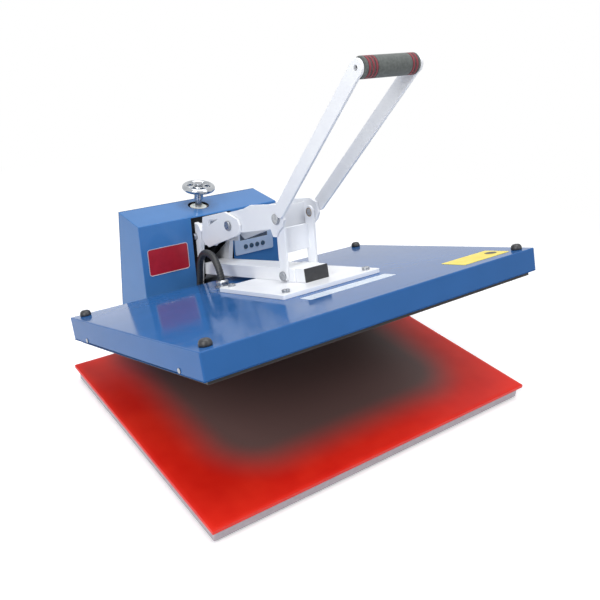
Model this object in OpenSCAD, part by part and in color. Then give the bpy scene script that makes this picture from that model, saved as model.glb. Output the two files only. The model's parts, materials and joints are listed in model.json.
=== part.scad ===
// Clamshell heat press, 50 x 70 cm, with a toggle handle and an electric upper platen.
// Millimetres, +Z up. X is the width, -Y is the operator's side.
// The origin is on the floor, under the middle of the whole machine.

/* [Bed] */
// Width of the silicone pad
pad_w = 700; // [420:10:1000]
// Depth of the silicone pad
pad_d = 500; // [400:10:800]
// Thickness of the silicone pad
pad_t = 7; // [4:0.5:12]
// How far the pad overhangs the bed plate on each side
bed_inset = 6; // [2:1:15]
// Height of the bed plate's folded rim
bed_h = 22.5; // [20:0.5:50]
// Thickness of the bed plate's top
bed_t = 5; // [3:0.5:8]
// Wall of the bed plate's rim
rim_t = 3; // [2:0.5:4]
// Height of the rubber feet
foot_h = 4; // [3:0.5:12]
// Diameter of the rubber feet
foot_d = 28; // [20:1:29]

/* [Chassis] */
// Distance between the centres of the two long rails
rail_span = 250; // [200:5:290]
// Width of a rail
rail_w = 30; // [26:1:40]
// Wall of the rails
rail_wall = 2.5; // [1.5:0.5:4]
// Thickness of the two uprights
upright_t = 10; // [6:1:10]

/* [Hinge] */
// Height of the platen hinge above the floor
hinge_z = 88.6; // [80:0.1:100]
// How far the platen hinge lies behind the middle of the bed
hinge_y = 381.7; // [375:0.1:390]
// Diameter of the hinge pin
hinge_pin_d = 20; // [14:1:24]
// Wall of the bronze bush around the hinge pin
bush_wall = 3; // [2:0.5:4]
// Opening angle of the platen
open_angle = 21; // [12:0.5:24]

/* [Upper platen] */
// Width of the sheet-metal cover
cover_w = 696; // [416:2:996]
// Depth of the sheet-metal cover
cover_d = 496; // [396:2:796]
// Height of the sheet-metal cover
cover_h = 41.6; // [36:0.2:60]
// Thickness of the cover's sheet
cover_t = 1.5; // [1:0.1:2.5]
// Thickness of the cast heater plate
heater_t = 18; // [14:1:22]
// How far the heater plate stands below the cover
heater_drop = 8; // [4:0.5:12]
// Gap between the heater plate and the cover's walls
heater_gap = 8; // [4:0.5:12]
// How far the middle of the platen closes behind the middle of the bed
platen_shift = 4; // [0:0.5:8]
// Distance of a corner knob from the cover's edges
knob_edge = 22; // [18:1:40]

/* [Lifting beam] */
// Width of the lifting beam
beam_w = 51; // [40:1:52]
// Height of the lifting beam
beam_h = 24.5; // [20:0.5:28]
// Wall of the lifting beam
beam_wall = 3; // [2:0.5:4]
// Length of beam in front of the strut's pivot
beam_nose = 50; // [40:1:90]
// Width of the mounting plate
plate_w = 214; // [160:2:260]
// Depth of the mounting plate
plate_d = 212; // [160:2:260]
// Thickness of the mounting plate
plate_t = 8; // [5:0.5:12]

/* [Toggle] */
// Pivot to pivot length of the strut
strut_len = 104.6; // [98:0.1:108]
// Diameter of the toggle pins
toggle_pin_d = 14; // [10:1:15]
// Thickness of the strut's legs
leg_t = 5; // [4:0.5:5]
// Thickness of the handle's cheeks
cheek_t = 5; // [4:0.5:5]
// Length of the handle's arms from the strut pivot to the grip
arm_len = 346; // [240:2:420]
// Forward bend of the arms from the line of the cheeks
arm_bend = 33.5; // [20:0.5:45]
// Width of the arms' flat bar
arm_w = 25; // [16:1:30]
// Thickness of the arms' flat bar
arm_t = 5.5; // [4:0.5:7]
// Length of the foam grip
grip_len = 108; // [95:1:118]
// Diameter of the foam grip
grip_d = 31.5; // [26:0.5:40]
// Diameter of the steel tube in the grip
grip_tube_d = 22; // [16:1:24]

/* [Pressure rocker] */
// Height of the rocker's pivot above the floor
rocker_z = 200; // [196:1:204]
// Thickness of the rocker's plates
rocker_t = 5; // [4:0.5:5]
// Distance from the rocker's pivot back to the pressure screw
tail_len = 60; // [56:1:64]
// Diameter of the pressure screw
screw_d = 14; // [10:1:16]
// Outer diameter of the handwheel
wheel_d = 70; // [56:1:100]
// Height of the handwheel's rim above the control box
wheel_rise = 40; // [32:1:50]

/* [Control box] */
// Width of the control box
box_w = 334; // [300:2:400]
// Height of the control box's top above the floor
box_top = 241.5; // [241:0.5:260]
// Depth of the control box's top
box_top_d = 89; // [86:1:110]
// How far the box's sloping front comes forward for each millimetre down
front_slope = 0.2035; // [0.15:0.01:0.22]
// Sheet thickness of the box
box_t = 1.5; // [1:0.1:2.5]
// Width of the slot for the lifting beam
slot_w = 96; // [94:1:110]

/* [Controls] */
// Width of the control panel
panel_w = 100; // [92:2:102]
// Height of the control panel
panel_h = 60; // [56:2:70]
// Diameter of a button
button_d = 10; // [7:0.5:11]
// Distance between the buttons
button_pitch = 15; // [14:1:18]

/* [Hidden] */
$fn = 64;

white_paint = "#f2f2f5";
blue_paint = "#3c68b4";
steel = "#b9bcc2";
dark_metal = "#2f2d2e";
black_plastic = "#1c1c1f";

running = 0.05;             // radial clearance of a pin in its bore
side_gap = 0.5;             // sideways clearance between plates that swing past each other

// Everything is laid out from the middle of the bed, bed_y from the origin.
back_y = 437;               // rearmost face, behind the middle of the bed
bed_y = -(back_y - pad_d / 2) / 2;
bed_w = pad_w - 2 * bed_inset;
bed_d = pad_d - 2 * bed_inset;
bed_top = foot_h + bed_h;
pad_top = bed_top + pad_t;
rail_h = bed_h - bed_t;
rail_top = foot_h + rail_h;

// The closed platen: everything on it is drawn level, then opened about the hinge.
press_gap = 0.3;
cover_bottom = pad_top + press_gap + heater_drop;
cover_top = cover_bottom + cover_h;
beam_z = cover_top + plate_t + beam_h / 2;
hinge = [hinge_y, hinge_z];
strut_closed = [platen_shift, beam_z];

// Sideways layers, from the middle outwards.
beam_x = beam_w / 2;
cheek_x = beam_x + 4;
leg_x = cheek_x + side_gap;
lever_x = leg_x + leg_t + side_gap;
rocker_x = lever_x + cheek_t + side_gap;
upright_x = 30.5;

function turn(p, c, a) = [
    c[0] + (p[0] - c[0]) * cos(a) - (p[1] - c[1]) * sin(a),
    c[1] + (p[0] - c[0]) * sin(a) + (p[1] - c[1]) * cos(a)];
function heading(p, q) = atan2(q[1] - p[1], q[0] - p[0]);

// The toggle: strut pivot, elbow and rocker nose, open and closed.
nose = [203.4, 274.6];
strut_foot = turn(strut_closed, hinge, -open_angle);
link_len = norm(nose - strut_closed) + 0.4 - strut_len;
foot_gap = norm(nose - strut_foot);
foot_corner = acos((strut_len ^ 2 + foot_gap ^ 2 - link_len ^ 2) / (2 * strut_len * foot_gap));
elbow = strut_foot + strut_len * [
    cos(heading(strut_foot, nose) + foot_corner),
    sin(heading(strut_foot, nose) + foot_corner)];
strut_turn = heading(strut_foot, elbow);
lever_turn = heading(nose, elbow);

// The control box: its front face leans back from the floor to the top.
box_floor_t = 2;
box_rear = back_y - 3;
box_front_top = box_rear - box_top_d;
function box_front(z) = box_front_top - (box_top - z) * front_slope;
front_lean = atan(front_slope);
slot_low = 72;
slot_high = box_top - 4;

upright_front = 318;
upright_back = 412;
upright_top = 228;
neck_back = 376;
rocker_y = 337;
screw_y = rocker_y + tail_len;
wheel_z = box_top + wheel_rise;

// Extrudes a (y, z) outline along X from x0, t thick.
module yz(x0, t) {
    translate([x0, 0, 0])
        rotate([90, 0, 90])
            linear_extrude(t)
                children();
}

// Repeats an outline as a left and a right plate whose inner faces are x0 from the middle.
module pair(x0, t) {
    yz(x0, t) children();
    yz(-x0 - t, t) children();
}

// A cylinder along X, centred on x, at a (y, z) point.
module bar(p, d, len, x = 0) {
    translate([x, p[0], p[1]])
        rotate([0, 90, 0])
            cylinder(d = d, h = len, center = true);
}

module at_bed() {
    translate([0, bed_y, 0]) children();
}

// Opens a piece that is drawn on the closed platen.
module opened() {
    at_bed()
        translate([0, hinge[0], hinge[1]])
            rotate([-open_angle, 0, 0])
                translate([0, -hinge[0], -hinge[1]])
                    children();
}

// Origin on the cover's top, under the strut's pivot, on the closed platen.
module on_cover() {
    opened()
        translate([0, platen_shift, cover_top])
            children();
}

// Outlines on the strut: x runs from its foot to the elbow.
module along_strut() {
    translate(strut_foot) rotate(strut_turn) children();
}

// Outlines on the handle: x runs from the rocker's nose to the elbow, -y is up.
module along_lever() {
    translate(nose) rotate(lever_turn) children();
}

// Plate on the sloping front of the box: x across, y up the slope, z out of the face.
module on_front(x, z) {
    at_bed()
        translate([x, box_front(z), z])
            rotate([90 - front_lean, 0, 0])
                children();
}

module tube_y(w, h, wall, len) {
    difference() {
        translate([-w / 2, 0, 0]) cube([w, len, h]);
        translate([wall - w / 2, -1, wall]) cube([w - 2 * wall, len + 2, h - 2 * wall]);
    }
}

module rounded(w, d, r) {
    translate([r - w / 2, r - d / 2]) square([w - 2 * r, d - 2 * r]);
    translate([-w / 2, r - d / 2]) square([w, d - 2 * r]);
    translate([r - w / 2, -d / 2]) square([w - 2 * r, d]);
    for (x = [-1, 1], y = [-1, 1])
        translate([x * (w / 2 - r), y * (d / 2 - r)]) circle(r = r);
}

// ---- Chassis and bed ----

rail_front = -pad_d / 2 + bed_inset + rim_t + 10;
rail_back = back_y - 5;
foot_front = rail_front + foot_d;
foot_back = rail_back - foot_d;

module side_rails() {
    color(dark_metal)
        at_bed()
            for (side = [-1, 1])
                translate([side * rail_span / 2, 0, 0])
                    difference() {
                        translate([0, rail_front, foot_h])
                            tube_y(rail_w, rail_h, rail_wall, rail_back - rail_front);
                        for (y = [foot_front, foot_back])
                            translate([0, y, foot_h - 1]) cylinder(d = 6, h = rail_wall + 2);
                    }
}

cross_d = 30;
cross_y = [rail_front + 60, 0, bed_d / 2 - cross_d - rim_t - 20, upright_front, upright_back - cross_d];

module cross_members() {
    color(dark_metal)
        at_bed()
            for (y = cross_y)
                translate([rail_w / 2 - rail_span / 2, y, foot_h])
                    cube([rail_span - rail_w, cross_d, rail_h]);
}

foot_web = 1.4;
foot_screw_head = 1.4;

module rubber_feet() {
    color(black_plastic)
        at_bed()
            for (x = [-1, 1], y = [foot_front, foot_back])
                translate([x * rail_span / 2, y, 0])
                    difference() {
                        cylinder(d = foot_d, h = foot_h);
                        translate([0, 0, -1]) cylinder(d = 12, h = foot_h + 1 - foot_web);
                        translate([0, 0, -1]) cylinder(d = 6, h = foot_h + 2);
                    }
}

module foot_screws() {
    color(steel)
        at_bed()
            for (x = [-1, 1], y = [foot_front, foot_back])
                translate([x * rail_span / 2, y, foot_h - foot_web - foot_screw_head]) {
                    cylinder(d = 11, h = foot_screw_head);
                    cylinder(d = 5.8, h = foot_screw_head + foot_web + rail_wall + 2);
                }
}

module bed_plate() {
    color("#8f8b90")
        at_bed()
            difference() {
                translate([-bed_w / 2, -bed_d / 2, foot_h]) cube([bed_w, bed_d, bed_h]);
                translate([rim_t - bed_w / 2, rim_t - bed_d / 2, foot_h - 1])
                    cube([bed_w - 2 * rim_t, bed_d - 2 * rim_t, rail_h + 1]);
                for (side = [-1, 1])
                    translate([side * rail_span / 2 - rail_w / 2 - side_gap, bed_d / 2 - rim_t - 1, foot_h - 1])
                        cube([rail_w + 2 * side_gap, rim_t + 2, rail_h + 1]);
            }
}

module silicone_pad() {
    color("#c41e1a")
        at_bed()
            translate([-pad_w / 2, -pad_d / 2, bed_top])
                cube([pad_w, pad_d, pad_t]);
}

// ---- Uprights and hinge ----

module upright_outline() {
    polygon([
        [upright_front, rail_top],
        [upright_back, rail_top],
        [upright_back, hinge_z + 58],
        [neck_back, hinge_z + 82],
        [neck_back, upright_top],
        [upright_front + 10, upright_top],
        [upright_front, upright_top - 10]]);
}

module uprights() {
    color(white_paint)
        at_bed()
            difference() {
                pair(upright_x, upright_t) upright_outline();
                bar(hinge, hinge_pin_d + 2 * running, 100);
                bar([rocker_y, rocker_z], toggle_pin_d + 2 * running, 100);
            }
}

pin_reach = upright_x + upright_t;

module hinge_pin() {
    color(steel)
        at_bed()
            difference() {
                bar(hinge, hinge_pin_d, 2 * pin_reach + 14);
                for (side = [-1, 1])
                    clip_ring(side, hinge_pin_d + 2, hinge_pin_d - 2);
            }
}

clip_t = 1.6;

module clip_ring(side, outer, inner) {
    difference() {
        bar(hinge, outer, clip_t, side * (pin_reach + 0.2 + clip_t / 2));
        bar(hinge, inner, 2 * clip_t, side * (pin_reach + 0.2 + clip_t / 2));
    }
}

module pin_clips() {
    color(steel)
        at_bed()
            for (side = [-1, 1])
                clip_ring(side, hinge_pin_d + 10, hinge_pin_d - 1.8);
}

// ---- Pressure screw seats ----

block_low = hinge_z + 40;
block_h = 18;
seat_depth = 6;
block_d = 24;

module thrust_block() {
    color(white_paint)
        at_bed()
            difference() {
                translate([-upright_x, screw_y - block_d / 2, block_low])
                    cube([2 * upright_x, block_d, block_h]);
                translate([0, screw_y, block_low + block_h - seat_depth])
                    cylinder(d = screw_d + 2 * running, h = seat_depth + 1);
            }
}

bridge_t = 5;
guide_d = 22;

module guide_bridge() {
    color(white_paint)
        at_bed()
            difference() {
                translate([-pin_reach, box_front(upright_top) + 6, upright_top])
                    cube([2 * pin_reach, screw_y + 18 - box_front(upright_top) - 6, bridge_t]);
                translate([0, screw_y, upright_top - 1])
                    cylinder(d = guide_d + 2 * running, h = bridge_t + 2);
            }
}

module screw_guide() {
    color("white")
        at_bed()
            translate([0, screw_y, 0])
                difference() {
                    union() {
                        translate([0, 0, upright_top + bridge_t]) cylinder(d = 36, h = 6);
                        translate([0, 0, upright_top - 6]) cylinder(d = guide_d, h = bridge_t + 8);
                    }
                    translate([0, 0, upright_top - 7])
                        cylinder(d = screw_d + 2 * running, h = 30);
                }
}

module rocker_pin() {
    color(steel)
        at_bed()
            bar([rocker_y, rocker_z], toggle_pin_d, 2 * (rocker_x + rocker_t) + 1);
}

// ---- Control box ----

module box_outline(t) {
    polygon([
        [box_front(rail_top) + t, rail_top],
        [box_front(box_top - t) + t, box_top - t],
        [box_rear, box_top - t],
        [box_rear, rail_top]]);
}

module box_floor() {
    color(blue_paint)
        at_bed()
            difference() {
                translate([box_t - box_w / 2, box_front(rail_top) + box_t + 1, rail_top])
                    cube([box_w - 2 * box_t, box_rear - box_front(rail_top) - box_t - 1, box_floor_t]);
                for (side = [-1, 1])
                    translate([side * (upright_x + upright_t / 2) - upright_t / 2 - side_gap,
                        upright_front - side_gap, rail_top - 1])
                        cube([upright_t + 2 * side_gap, upright_back - upright_front + 2 * side_gap,
                            box_floor_t + 2]);
            }
}

conduit_x = -68;
conduit_z = 62;
wheel_hole = 44;

module box_shell() {
    color(blue_paint)
        at_bed()
            difference() {
                yz(-box_w / 2, box_w) box_outline(0);
                yz(box_t - box_w / 2, box_w - 2 * box_t) box_outline(box_t);
                translate([box_t - box_w / 2, box_front(rail_top) + box_t, rail_top - 1])
                    cube([box_w - 2 * box_t, box_rear - box_front(rail_top), 2]);
                translate([-slot_w / 2, box_front(slot_low) - 1, slot_low])
                    cube([slot_w, box_front(slot_high) - box_front(slot_low) + 6, slot_high - slot_low]);
                translate([0, screw_y, box_top - box_t - 1]) cylinder(d = wheel_hole, h = box_t + 2);
                translate([panel_x, box_front(panel_z), panel_z])
                    rotate([90 - front_lean, 0, 0])
                        translate([0, 0, -6])
                            linear_extrude(10) square([panel_w - 14, panel_h - 14], center = true);
                translate([conduit_x, box_front(conduit_z), conduit_z])
                    rotate([90 - front_lean, 0, 0])
                        cylinder(d = conduit_d + 9, h = 20, center = true);
            }
}

back_t = 1.5;
inlet_x = 108;
inlet_z = 62;
switch_x = 108;
switch_z = 108;
switch_pin_d = 3;
switch_pin_len = 23.4;
switch_axis_y = box_rear - 5;
vent_x = -70;
vent_w = 90;
vent_h = 4;
vent_z = [90:12:150];
socket_w = 28;
socket_h = 21;
flange_w = 32;
flange_h = 25;
flange_t = 1;

module box_back() {
    color(blue_paint)
        at_bed()
            difference() {
                translate([-box_w / 2, box_rear, rail_top])
                    cube([box_w, back_t, box_top - rail_top]);
                for (at = [[inlet_x, inlet_z], [switch_x, switch_z]])
                    translate([at[0] - socket_w / 2, box_rear - 1, at[1] - socket_h / 2])
                        cube([socket_w, back_t + 2, socket_h]);
                for (z = vent_z)
                    translate([vent_x - vent_w / 2, box_rear - 1, z]) cube([vent_w, back_t + 2, vent_h]);
            }
}

box_screw_d = 7;
box_screw_x = box_w / 2 - 10;
box_screw_z = [rail_top + 14, box_top - 14];

module box_screws() {
    color(steel)
        at_bed()
            for (x = [-1, 1], z = box_screw_z)
                translate([x * box_screw_x, box_rear + back_t, z])
                    rotate([-90, 0, 0])
                        cylinder(d = box_screw_d, h = 1.5);
}

// ---- Control panel ----

panel_x = 101;
panel_z = 169;
panel_t = 2.4;
display_w = 72;
display_h = 22;
display_up = 12;
button_up = -14;
button_x = [for (i = [-1.5:1:1.5]) i * button_pitch];

module control_panel() {
    color("#9fb4cc")
        on_front(panel_x, panel_z)
            difference() {
                linear_extrude(panel_t) rounded(panel_w, panel_h, 4);
                translate([-display_w / 2, display_up - display_h / 2, -1])
                    cube([display_w, display_h, panel_t + 2]);
                for (x = button_x)
                    translate([x, button_up, -1])
                        cylinder(d = button_d + 0.8, h = panel_t + 2);
            }
}

module display_window() {
    color("#30363e")
        on_front(panel_x, panel_z)
            translate([running - display_w / 2, display_up - display_h / 2 + running, -2])
                cube([display_w - 2 * running, display_h - 2 * running, panel_t + 1]);
}

board_back = -16;
board_t = 1.6;
board_w = 88;
board_h = 52;
standoff_d = 6;
standoff_x = 38;
standoff_z = [-17, -4];
window_gap = 2;

module controller_board() {
    color("#2f6b3a")
        on_front(panel_x, panel_z) {
            translate([-board_w / 2, -board_h / 2, board_back]) cube([board_w, board_h, board_t]);
            translate([-34, 4, board_back + board_t])
                cube([68, 18, -board_back - board_t - window_gap]);
            for (x = [-standoff_x, standoff_x], y = standoff_z)
                translate([x, y, board_back + board_t])
                    cylinder(d = standoff_d, h = -board_back - board_t);
        }
}

relay_x = -136;
relay_size = [46, 30, 60];

module power_relay() {
    color("#303236")
        at_bed()
            translate([relay_x, box_rear - 60, rail_top + box_floor_t]) {
                cube(relay_size);
                translate([-22, 4, 0]) cube([22, 22, 26]);
            }
}

module mains_inlet() {
    color(black_plastic)
        at_bed()
            difference() {
                union() {
                    translate([inlet_x - flange_w / 2, box_rear + back_t, inlet_z - flange_h / 2])
                        cube([flange_w, 1.5 * flange_t, flange_h]);
                    translate([inlet_x - 13.5, box_rear - 20, inlet_z - 10])
                        cube([27, 20 + back_t + 0.5, 20]);
                }
                translate([inlet_x - 11, box_rear - 14, inlet_z - 7.5]) cube([22, 20, 15]);
            }
}

module switch_housing() {
    color(black_plastic)
        at_bed()
            difference() {
                union() {
                    translate([switch_x - flange_w / 2, box_rear + back_t, switch_z - flange_h / 2])
                        cube([flange_w, flange_t, flange_h]);
                    translate([switch_x - 13.5, box_rear - 16, switch_z - 10])
                        cube([27, 16 + back_t + 0.5, 20]);
                }
                translate([switch_x - 11, box_rear - 12, switch_z - 8]) cube([22, 20, 16]);
                translate([switch_x, switch_axis_y, switch_z])
                    bar([0, 0], switch_pin_d + 2 * running, switch_pin_len + 0.6);
            }
}

badge_x = -108;
badge_z = 165;
badge_w = 92;
badge_h = 56;
badge_t = 0.8;

module name_badge() {
    color("#b01c24")
        on_front(badge_x, badge_z)
            linear_extrude(badge_t) rounded(badge_w, badge_h, 6);
}

// ---- Conduit between the box and the platen ----

conduit_d = 14;
gland_x = -74;
gland_y = 158;
gland_h = 14;

module conduit_grommet() {
    color(black_plastic)
        on_front(conduit_x, conduit_z)
            rotate_extrude()
                translate([conduit_d / 2 + 0.9, 0])
                    polygon([[0, -4], [3.4, -4], [3.4, 0], [7, 0], [7, 3], [4, 6], [0, 6]]);
}

module conduit_gland() {
    color(steel)
        on_cover()
            translate([gland_x, gland_y, 0])
                rotate_extrude()
                    polygon([[0, 0], [15, 0], [15, 3], [11, 3], [11, 5], [12.5, 5], [12.5, gland_h - 3],
                        [9.5, gland_h], [0, gland_h]]);
}

// Centre line of the conduit, from inside the box, over its arch, down to the gland.
conduit_path = [
    [-68, 377.5, 42], [-68, 362, 49], [-68, 346, 54], [-68, 331, 57.5], [-68, 316, 60.5],
    [-68, 301, 63.5], [-68, 287, 68.5], [-68, 277, 79], [-68, 272.5, 94], [-68, 272, 111],
    [-68, 272, 128], [-68, 272, 146], [-68.5, 272, 163.9], [-69, 268.6, 181.4], [-70, 258.3, 196.9],
    [-71, 245, 206.2], [-72, 225.3, 210.6], [-73, 209.3, 207.8], [-74, 192.3, 196.9]];

// The last stretch drops square onto the gland's open end.
gland_mouth = turn([platen_shift + gland_y, cover_top + gland_h + 0.4], hinge, -open_angle);
gland_run = turn([platen_shift + gland_y, cover_top + gland_h + 6], hinge, -open_angle);
conduit_line = concat(conduit_path,
    [[gland_x, gland_run[0], gland_run[1]], [gland_x, gland_mouth[0], gland_mouth[1]]]);

// Smooths a path by cutting its corners once.
function smoothed(p) = concat([p[0]],
    [for (i = [0:len(p) - 2]) each [p[i] * 0.75 + p[i + 1] * 0.25, p[i] * 0.25 + p[i + 1] * 0.75]],
    [p[len(p) - 1]]);
function unit(v) = v / norm(v);
function heading_at(p, i) = unit(p[min(i + 1, len(p) - 1)] - p[max(i - 1, 0)]);
function ring(p, i, d, n) =
    let (t = heading_at(p, i), a = unit(cross(t, [1, 0, 0])), b = cross(t, a))
    [for (k = [0:n - 1]) p[i] + d / 2 * (cos(360 * k / n) * a + sin(360 * k / n) * b)];

module swept_tube(p, d, n) {
    rings = len(p);
    points = [for (i = [0:rings - 1]) each ring(p, i, d, n)];
    sides = [for (i = [0:rings - 2], k = [0:n - 1])
        [i * n + k, i * n + (k + 1) % n, (i + 1) * n + (k + 1) % n, (i + 1) * n + k]];
    start_cap = [for (k = [0:n - 1]) n - 1 - k];
    end_cap = [for (k = [0:n - 1]) (rings - 1) * n + k];
    polyhedron(points, concat(sides, [start_cap], [end_cap]));
}

module heater_conduit() {
    color(black_plastic)
        at_bed()
            swept_tube(smoothed(conduit_line), conduit_d, 12);
}

// ---- Upper platen ----

heater_w = cover_w - 2 * cover_t - 2 * heater_gap;
heater_d = cover_d - 2 * cover_t - 2 * heater_gap;
heater_top = heater_t - heater_drop - cover_h;
stud_x = cover_w / 2 - knob_edge;
stud_y = cover_d / 2 - knob_edge;
stud_d = 8;

side_screw_y = [-0.36 * cover_d, 0.36 * cover_d];
side_screw_up = 6;

module platen_cover() {
    color(blue_paint)
        on_cover()
            difference() {
                translate([-cover_w / 2, -cover_d / 2, -cover_h]) cube([cover_w, cover_d, cover_h]);
                translate([cover_t - cover_w / 2, cover_t - cover_d / 2, -cover_h - 1])
                    cube([cover_w - 2 * cover_t, cover_d - 2 * cover_t, cover_h + 1 - cover_t]);
                for (x = [-1, 1], y = [-1, 1])
                    translate([x * stud_x, y * stud_y, -cover_t - 1])
                        cylinder(d = stud_d + 0.4, h = cover_t + 2);
                for (y = side_screw_y)
                    translate([0, y, -cover_h + side_screw_up])
                        rotate([0, 90, 0])
                            cylinder(d = 4.2, h = cover_w + 2, center = true);
            }
}

module heater_plate() {
    color(dark_metal)
        on_cover()
            difference() {
                translate([-heater_w / 2, -heater_d / 2, -cover_h - heater_drop])
                    cube([heater_w, heater_d, heater_t]);
                for (x = [-1, 1], y = [-1, 1])
                    translate([x * stud_x, y * stud_y, heater_top - 10])
                        cylinder(d = stud_d + 2 * running, h = 11);
                element_run(6);
                thermostat_well();
            }
}

// A flat zigzag groove in the heater plate's back for the tubular element.
run_pitch = 60;
run_count = 6;
run_len = heater_w - 160;
run_d = 10;

module element_run(clear) {
    for (i = [0:run_count - 1])
        translate([-run_len / 2, (i - (run_count - 1) / 2) * run_pitch - run_d / 2, heater_top - run_d / 2])
            cube([run_len, run_d, run_d / 2 + clear]);
    for (i = [0:run_count - 2])
        translate([(i % 2 == 0 ? 1 : -1) * (run_len / 2 - run_d / 2) - run_d / 2,
            (i - (run_count - 1) / 2) * run_pitch, heater_top - run_d / 2])
            cube([run_d, run_pitch, run_d / 2 + clear]);
}

module heating_element() {
    color("#7a4a3c")
        on_cover()
            element_run(0);
}

thermostat_x = -30;
thermostat_d = 18;
well_depth = 6;

module thermostat_well() {
    translate([thermostat_x, run_pitch, heater_top - well_depth])
        cylinder(d = thermostat_d + 0.4, h = well_depth + 2);
}

module thermostat() {
    color(steel)
        on_cover()
            translate([thermostat_x, run_pitch, heater_top - well_depth]) {
                cylinder(d = thermostat_d, h = 2 * well_depth);
                translate([-4, -12, 8]) cube([8, 24, 3]);
            }
}

blanket_gap = 2;

module insulation_blanket() {
    color("#e6e2d2")
        on_cover()
            difference() {
                translate([blanket_gap - heater_w / 2, blanket_gap - heater_d / 2, heater_top + 0.3])
                    cube([heater_w - 2 * blanket_gap, heater_d - 2 * blanket_gap,
                        -cover_t - 1 - heater_top]);
                for (x = [-1, 1], y = [-1, 1])
                    translate([x * stud_x, y * stud_y, heater_top - 1]) cylinder(d = 16, h = cover_h);
                translate([thermostat_x, run_pitch, heater_top - 1])
                    cylinder(d = thermostat_d + 12, h = 8);
            }
}

module corner_studs() {
    color(steel)
        on_cover()
            for (x = [-1, 1], y = [-1, 1])
                translate([x * stud_x, y * stud_y, heater_top - 10])
                    cylinder(d = stud_d, h = 18 - heater_top);
}

module corner_knobs() {
    color(black_plastic)
        on_cover()
            for (x = [-1, 1], y = [-1, 1])
                translate([x * stud_x, y * stud_y, 0])
                    difference() {
                        rotate_extrude()
                            polygon([[0, 0], [9.6, 0], [10, 2], [9.8, 4.5], [8.6, 7.8], [6, 10], [0, 11]]);
                        translate([0, 0, -1]) cylinder(d = stud_d + 2 * running, h = 9.5);
                    }
}

module cover_screws() {
    color(steel)
        on_cover()
            for (x = [-1, 1], y = side_screw_y)
                translate([x * cover_w / 2, y, -cover_h + side_screw_up])
                    rotate([0, x * 90, 0]) {
                        translate([0, 0, -cover_t - heater_gap]) cylinder(d = 4, h = cover_t + heater_gap);
                        cylinder(d = 8, h = 1.6);
                    }
}

plate_y = 8;
plate_screw_x = plate_w / 2 - 18;
plate_screw_y = plate_d / 2 - 18;

module mounting_plate() {
    color(white_paint)
        on_cover()
            difference() {
                translate([0, plate_y, 0]) linear_extrude(plate_t) rounded(plate_w, plate_d, 3);
                for (x = [-1, 1], y = [-1, 1])
                    translate([x * plate_screw_x, plate_y + y * plate_screw_y, -1])
                        cylinder(d = 8.4, h = plate_t + 2);
            }
}

module plate_screws() {
    color(steel)
        on_cover()
            for (x = [-1, 1], y = [-1, 1])
                translate([x * plate_screw_x, plate_y + y * plate_screw_y, 0])
                    difference() {
                        union() {
                            cylinder(d = 8, h = plate_t);
                            translate([0, 0, plate_t]) cylinder(d = 14, h = 5);
                        }
                        translate([0, 0, plate_t + 2]) cylinder(d = 7, h = 4, $fn = 6);
                    }
}

label_t = 0.6;
label_w = 120;
label_h = 56;
label_x = stud_x - 77;
label_y = 30 - stud_y;

module label_plate() {
    color("#e8c92a")
        on_cover()
            translate([label_x, label_y, 0]) linear_extrude(label_t) rounded(label_w, label_h, 3);
}

// ---- Lifting beam, drawn on the closed platen ----

beam_front = platen_shift - beam_nose;
beam_back = hinge_y - 6;
barrel_d = hinge_pin_d + 2 * bush_wall + 10;
bush_d = hinge_pin_d + 2 * bush_wall;

module lifting_beam() {
    color(white_paint)
        opened()
            difference() {
                union() {
                    translate([-beam_x, beam_front, beam_z - beam_h / 2])
                        cube([beam_w, beam_back - beam_front, beam_h]);
                    bar(hinge, barrel_d, 2 * (upright_x - side_gap));
                }
                translate([beam_wall - beam_x, beam_front - 1, beam_z - beam_h / 2 + beam_wall])
                    cube([beam_w - 2 * beam_wall, beam_back - beam_front - 20, beam_h - 2 * beam_wall]);
                bar(hinge, bush_d, 100);
                bar(strut_closed, toggle_pin_d + 2 * running, 100);
            }
}

module hinge_bush() {
    color("#b08a4a")
        opened()
            difference() {
                bar(hinge, bush_d, 2 * (upright_x - side_gap));
                bar(hinge, hinge_pin_d + 2 * running, 100);
            }
}

module beam_plug() {
    color(black_plastic)
        opened() {
            translate([-beam_x, beam_front - 3, beam_z - beam_h / 2]) cube([beam_w, 3, beam_h]);
            translate([beam_wall - beam_x + 0.1, beam_front, beam_z - beam_h / 2 + beam_wall + 0.1])
                cube([beam_w - 2 * beam_wall - 0.2, 14, beam_h - 2 * beam_wall - 0.2]);
        }
}

module pivot_cheeks() {
    color(white_paint)
        opened()
            difference() {
                pair(beam_x, cheek_x - beam_x)
                    translate([platen_shift - 24, beam_z - beam_h / 2]) square([48, beam_h]);
                bar(strut_closed, toggle_pin_d + 2 * running, 100);
            }
}

leg_reach = leg_x + leg_t;

module strut_pin() {
    color(steel)
        opened() {
            bar(strut_closed, toggle_pin_d, 2 * leg_reach + 0.6);
            for (side = [-1, 1])
                bar(strut_closed, 17, 4.4, side * (leg_reach + 0.3 + 2.2));
        }
}

// ---- Strut ----

leg_w = 24;
foot_r = 9.8;
elbow_r = 12;
web_low = 38;
web_high = 84;
web_t = 4;

module leg_outline() {
    circle(r = foot_r);
    translate([strut_len, 0]) circle(r = elbow_r);
    polygon([[0, -foot_r], [30, -leg_w / 2], [strut_len, -elbow_r], [strut_len, elbow_r],
        [30, leg_w / 2], [0, foot_r]]);
}

module strut() {
    color(white_paint)
        at_bed()
            difference() {
                union() {
                    pair(leg_x, leg_t) along_strut() leg_outline();
                    yz(-leg_x, 2 * leg_x)
                        along_strut()
                            translate([web_low, -leg_w / 2 + 3]) square([web_high - web_low, web_t]);
                }
                bar(strut_foot, toggle_pin_d + 2 * running, 100);
                bar(elbow, toggle_pin_d + 2 + 2 * running, 100);
            }
}

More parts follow.
